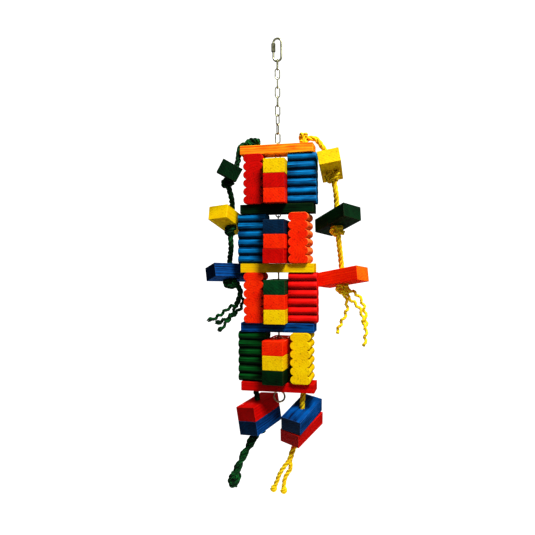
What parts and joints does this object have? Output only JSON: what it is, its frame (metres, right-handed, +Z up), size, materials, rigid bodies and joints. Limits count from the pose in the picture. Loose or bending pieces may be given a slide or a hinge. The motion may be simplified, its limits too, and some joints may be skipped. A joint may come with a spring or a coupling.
{
  "type": "hanging wooden block and rope toy",
  "caption": "Hanging tower of stained wooden blocks and slats on a chain, with knotted rope arms and feet carrying loose blocks, under a screw quick link.",
  "frame": {"origin": "inside top of the quick link's bow, where a hook carries the toy", "axes": "+Z up along the hanging chain, +X along the slats to the right, -Y towards the viewer"},
  "size_m": [0.2981, 0.1282, 0.811],
  "materials": {
    "wood_orange": "stained, matt, open grain",
    "wood_yellow": "stained, matt, open grain",
    "wood_red": "stained, matt, open grain",
    "wood_orange_red": "stained, matt, open grain",
    "wood_blue": "stained, matt, open grain",
    "wood_navy": "stained, matt, open grain",
    "wood_green": "stained, matt, open grain",
    "wood_dark_green": "stained, matt, open grain",
    "wood_crimson": "stained, matt, open grain",
    "wood_amber": "stained, matt, open grain",
    "rope_green": "dyed three-strand rope",
    "rope_yellow": "dyed three-strand rope",
    "plated_steel": "nickel-plated steel wire"
  },
  "bodies": {
    "quick_link": {"quick_link_body": "plated_steel"},
    "nut": {"quick_link_nut": "plated_steel"},
    "link_1": {"chain_link_1": "plated_steel"},
    "link_2": {"chain_link_2": "plated_steel"},
    "link_3": {"chain_link_3": "plated_steel"},
    "link_4": {"chain_link_4": "plated_steel"},
    "link_5": {"chain_link_5": "plated_steel"},
    "link_6": {"chain_link_6": "plated_steel"},
    "link_7": {"chain_link_7": "plated_steel"},
    "link_8": {"chain_link_8": "plated_steel"},
    "link_9": {"chain_link_9": "plated_steel"},
    "tower": {"slat_1": "wood_amber", "slat_2": "wood_dark_green", "slat_3": "wood_yellow", "slat_4": "wood_navy", "slat_5": "wood_red", "fluted_left_1": "wood_red", "fluted_left_2": "wood_blue", "fluted_left_3": "wood_orange_red", "fluted_left_4": "wood_dark_green", "fluted_right_1": "wood_blue", "fluted_right_2": "wood_orange_red", "fluted_right_3": "wood_crimson", "fluted_right_4": "wood_yellow", "left_core_rope": "rope_green", "right_core_rope": "rope_yellow", "inner_chain": "plated_steel"},
    "stack_1_top": {"centre_block_1_1": "wood_yellow"},
    "stack_1_middle": {"centre_block_1_2": "wood_red"},
    "stack_1_bottom": {"centre_block_1_3": "wood_orange_red"},
    "stack_2_top": {"centre_block_2_1": "wood_navy"},
    "stack_2_middle": {"centre_block_2_2": "wood_orange_red"},
    "stack_2_bottom": {"centre_block_2_3": "wood_red"},
    "stack_3_top": {"centre_block_3_1": "wood_green"},
    "stack_3_middle": {"centre_block_3_2": "wood_orange_red"},
    "stack_3_bottom": {"centre_block_3_3": "wood_yellow"},
    "stack_4_top": {"centre_block_4_1": "wood_orange_red"},
    "stack_4_middle": {"centre_block_4_2": "wood_yellow"},
    "stack_4_bottom": {"centre_block_4_3": "wood_dark_green"},
    "left_arm_upper": {"left_arm_rope_upper": "rope_green"},
    "left_arm_block_1_body": {"left_arm_block_1": "wood_dark_green"},
    "left_arm_middle": {"left_arm_rope_middle": "rope_green"},
    "left_arm_block_2_body": {"left_arm_block_2": "wood_yellow"},
    "left_arm_lower": {"left_arm_rope_lower": "rope_green", "left_arm_strands": "rope_green"},
    "left_arm_block_3_body": {"left_arm_block_3": "wood_blue"},
    "right_arm_upper": {"right_arm_rope_upper": "rope_yellow"},
    "right_arm_block_1_body": {"right_arm_block_1": "wood_yellow"},
    "right_arm_middle": {"right_arm_rope_middle": "rope_yellow"},
    "right_arm_block_2_body": {"right_arm_block_2": "wood_dark_green"},
    "right_arm_lower": {"right_arm_rope_lower": "rope_yellow", "right_arm_strands": "rope_yellow"},
    "right_arm_block_3_body": {"right_arm_block_3": "wood_orange"},
    "left_foot": {"left_foot_rope": "rope_green"},
    "left_foot_upper_block": {"left_foot_block_1": "wood_red"},
    "left_foot_lower_block": {"left_foot_block_2": "wood_blue"},
    "right_foot": {"right_foot_rope": "rope_yellow"},
    "right_foot_upper_block": {"right_foot_block_1": "wood_blue"},
    "right_foot_lower_block": {"right_foot_block_2": "wood_red"},
    "ring": {"bottom_ring": "plated_steel"}
  },
  "joints": [
    {"name": "nut_travel", "type": "slide", "parent": "quick_link", "child": "nut", "axis": [0, 0, -1], "range_m": [0, 0.009]},
    {"name": "link_1_swing", "type": "hinge", "parent": "quick_link", "child": "link_1", "pos_m": [0, 0, -0.0388], "axis": [1, 0, 0], "range_deg": [-30, 30]},
    {"name": "link_2_swing", "type": "hinge", "parent": "link_1", "child": "link_2", "pos_m": [0, 0, -0.05446], "axis": [0.1392, -0.9903, 0], "range_deg": [-30, 30]},
    {"name": "link_3_swing", "type": "hinge", "parent": "link_2", "child": "link_3", "pos_m": [0, 0, -0.07092], "axis": [0.9925, 0.1219, 0], "range_deg": [-30, 30]},
    {"name": "link_4_swing", "type": "hinge", "parent": "link_3", "child": "link_4", "pos_m": [0, 0, -0.08738], "axis": [0.1736, -0.9848, 0], "range_deg": [-30, 30]},
    {"name": "link_5_swing", "type": "hinge", "parent": "link_4", "child": "link_5", "pos_m": [0, 0, -0.10384], "axis": [0.9994, 0.0349, 0], "range_deg": [-30, 30]},
    {"name": "link_6_swing", "type": "hinge", "parent": "link_5", "child": "link_6", "pos_m": [0, 0, -0.12031], "axis": [0.0523, -0.9986, 0], "range_deg": [-30, 30]},
    {"name": "link_7_swing", "type": "hinge", "parent": "link_6", "child": "link_7", "pos_m": [0, 0, -0.13677], "axis": [0.8829, -0.4695, 0], "range_deg": [-20, 20]},
    {"name": "link_8_swing", "type": "hinge", "parent": "link_7", "child": "link_8", "pos_m": [0, 0, -0.15323], "axis": [0.848, 0.5299, 0], "range_deg": [-20, 20]},
    {"name": "link_9_swing", "type": "hinge", "parent": "link_8", "child": "link_9", "pos_m": [0, 0, -0.16969], "axis": [-0.2588, 0.9659, 0], "range_deg": [-30, 30]},
    {"name": "tower_swing", "type": "hinge", "parent": "link_9", "child": "tower", "pos_m": [0, 0, -0.18615], "axis": [-0.9659, -0.2588, 0], "range_deg": [-25, 25]},
    {"name": "stack_1_top_lift", "type": "slide", "parent": "tower", "child": "stack_1_top", "axis": [0, 0, 1], "range_m": [0, 0.011]},
    {"name": "stack_1_middle_turn", "type": "hinge", "parent": "tower", "child": "stack_1_middle", "pos_m": [0, 0, -0.2], "axis": [0, 0, 1], "range_deg": [-1, 1]},
    {"name": "stack_1_bottom_turn", "type": "hinge", "parent": "tower", "child": "stack_1_bottom", "pos_m": [0, 0, -0.2], "axis": [0, 0, 1], "range_deg": [-1, 1]},
    {"name": "stack_2_top_lift", "type": "slide", "parent": "tower", "child": "stack_2_top", "axis": [0, 0, 1], "range_m": [0, 0.011]},
    {"name": "stack_2_middle_turn", "type": "hinge", "parent": "tower", "child": "stack_2_middle", "pos_m": [0, 0, -0.2], "axis": [0, 0, 1], "range_deg": [-1, 1]},
    {"name": "stack_2_bottom_turn", "type": "hinge", "parent": "tower", "child": "stack_2_bottom", "pos_m": [0, 0, -0.2], "axis": [0, 0, 1], "range_deg": [-1, 1]},
    {"name": "stack_3_top_lift", "type": "slide", "parent": "tower", "child": "stack_3_top", "axis": [0, 0, 1], "range_m": [0, 0.011]},
    {"name": "stack_3_middle_turn", "type": "hinge", "parent": "tower", "child": "stack_3_middle", "pos_m": [0, 0, -0.2], "axis": [0, 0, 1], "range_deg": [-1, 1]},
    {"name": "stack_3_bottom_turn", "type": "hinge", "parent": "tower", "child": "stack_3_bottom", "pos_m": [0, 0, -0.2], "axis": [0, 0, 1], "range_deg": [-1, 1]},
    {"name": "stack_4_top_lift", "type": "slide", "parent": "tower", "child": "stack_4_top", "axis": [0, 0, 1], "range_m": [0, 0.011]},
    {"name": "stack_4_middle_turn", "type": "hinge", "parent": "tower", "child": "stack_4_middle", "pos_m": [0, 0, -0.2], "axis": [0, 0, 1], "range_deg": [-1, 1]},
    {"name": "stack_4_bottom_turn", "type": "hinge", "parent": "tower", "child": "stack_4_bottom", "pos_m": [0, 0, -0.2], "axis": [0, 0, 1], "range_deg": [-1, 1]},
    {"name": "left_arm_upper_swing", "type": "hinge", "parent": "tower", "child": "left_arm_upper", "pos_m": [-0.061, 0, -0.1858], "axis": [0, 1, 0], "range_deg": [0, 40]},
    {"name": "left_arm_block_1_turn", "type": "hinge", "parent": "left_arm_upper", "child": "left_arm_block_1_body", "pos_m": [-0.0794, -0.0143, -0.2382], "axis": [0.4845, 0.0282, 0.8744], "range_deg": [-20, 8]},
    {"name": "left_arm_middle_swing", "type": "hinge", "parent": "left_arm_upper", "child": "left_arm_middle", "pos_m": [-0.0854, -0.0123, -0.273], "axis": [0, 1, 0], "range_deg": [0, 35]},
    {"name": "left_arm_block_2_turn", "type": "hinge", "parent": "left_arm_middle", "child": "left_arm_block_2_body", "pos_m": [-0.0891, 0.007, -0.3204], "axis": [-0.0126, 0.302, 0.9532], "range_deg": [0, 15]},
    {"name": "left_arm_lower_swing", "type": "hinge", "parent": "left_arm_middle", "child": "left_arm_lower", "pos_m": [-0.0886, -0.0009, -0.356], "axis": [0, 1, 0], "range_deg": [0, 35]},
    {"name": "left_arm_block_3_turn", "type": "hinge", "parent": "left_arm_lower", "child": "left_arm_block_3_body", "pos_m": [-0.0955, 0.0205, -0.417], "axis": [-0.1727, 0.2173, 0.9607], "range_deg": [0, 40]},
    {"name": "right_arm_upper_swing", "type": "hinge", "parent": "tower", "child": "right_arm_upper", "pos_m": [0.061, 0, -0.18], "axis": [0, -1, 0], "range_deg": [0, 40]},
    {"name": "right_arm_block_1_turn", "type": "hinge", "parent": "right_arm_upper", "child": "right_arm_block_1_body", "pos_m": [0.0923, 0.014, -0.2275], "axis": [-0.1864, 0.215, 0.9587], "range_deg": [-3, 6]},
    {"name": "right_arm_middle_swing", "type": "hinge", "parent": "right_arm_upper", "child": "right_arm_middle", "pos_m": [0.1, 0.0092, -0.2623], "axis": [0, -1, 0], "range_deg": [0, 35]},
    {"name": "right_arm_block_2_turn", "type": "hinge", "parent": "right_arm_middle", "child": "right_arm_block_2_body", "pos_m": [0.104, 0.0135, -0.3243], "axis": [-0.0609, 0.3268, 0.9431], "range_deg": [-50, 3]},
    {"name": "right_arm_lower_swing", "type": "hinge", "parent": "right_arm_middle", "child": "right_arm_lower", "pos_m": [0.1068, 0.0054, -0.36], "axis": [0, -1, 0], "range_deg": [0, 35]},
    {"name": "right_arm_block_3_turn", "type": "hinge", "parent": "right_arm_lower", "child": "right_arm_block_3_body", "pos_m": [0.112, 0.02, -0.4258], "axis": [-0.092, 0.172, 0.9808], "range_deg": [-75, 0]},
    {"name": "left_foot_swing", "type": "hinge", "parent": "tower", "child": "left_foot", "pos_m": [-0.0435, 0, -0.6317], "axis": [0, 1, 0], "range_deg": [-5, 25]},
    {"name": "left_foot_upper_block_turn", "type": "hinge", "parent": "left_foot", "child": "left_foot_upper_block", "pos_m": [-0.0404, 0.0082, -0.6606], "axis": [-0.1279, -0.077, 0.9888], "range_deg": [-8, 8]},
    {"name": "left_foot_lower_block_turn", "type": "hinge", "parent": "left_foot", "child": "left_foot_lower_block", "pos_m": [-0.0404, 0.0082, -0.6606], "axis": [-0.1279, -0.077, 0.9888], "range_deg": [-8, 8]},
    {"name": "right_foot_swing", "type": "hinge", "parent": "tower", "child": "right_foot", "pos_m": [0.0435, 0, -0.6317], "axis": [0, -1, 0], "range_deg": [-5, 25]},
    {"name": "right_foot_upper_block_turn", "type": "hinge", "parent": "right_foot", "child": "right_foot_upper_block", "pos_m": [0.0406, 0.002, -0.6676], "axis": [0.0553, -0.3284, 0.9429], "range_deg": [-8, 8]},
    {"name": "right_foot_lower_block_turn", "type": "hinge", "parent": "right_foot", "child": "right_foot_lower_block", "pos_m": [0.0406, 0.002, -0.6676], "axis": [0.0553, -0.3284, 0.9429], "range_deg": [-8, 8]},
    {"name": "ring_swing", "type": "hinge", "parent": "tower", "child": "ring", "pos_m": [0, 0, -0.6281], "axis": [1, 0, 0], "range_deg": [-40, 40]}
  ]
}
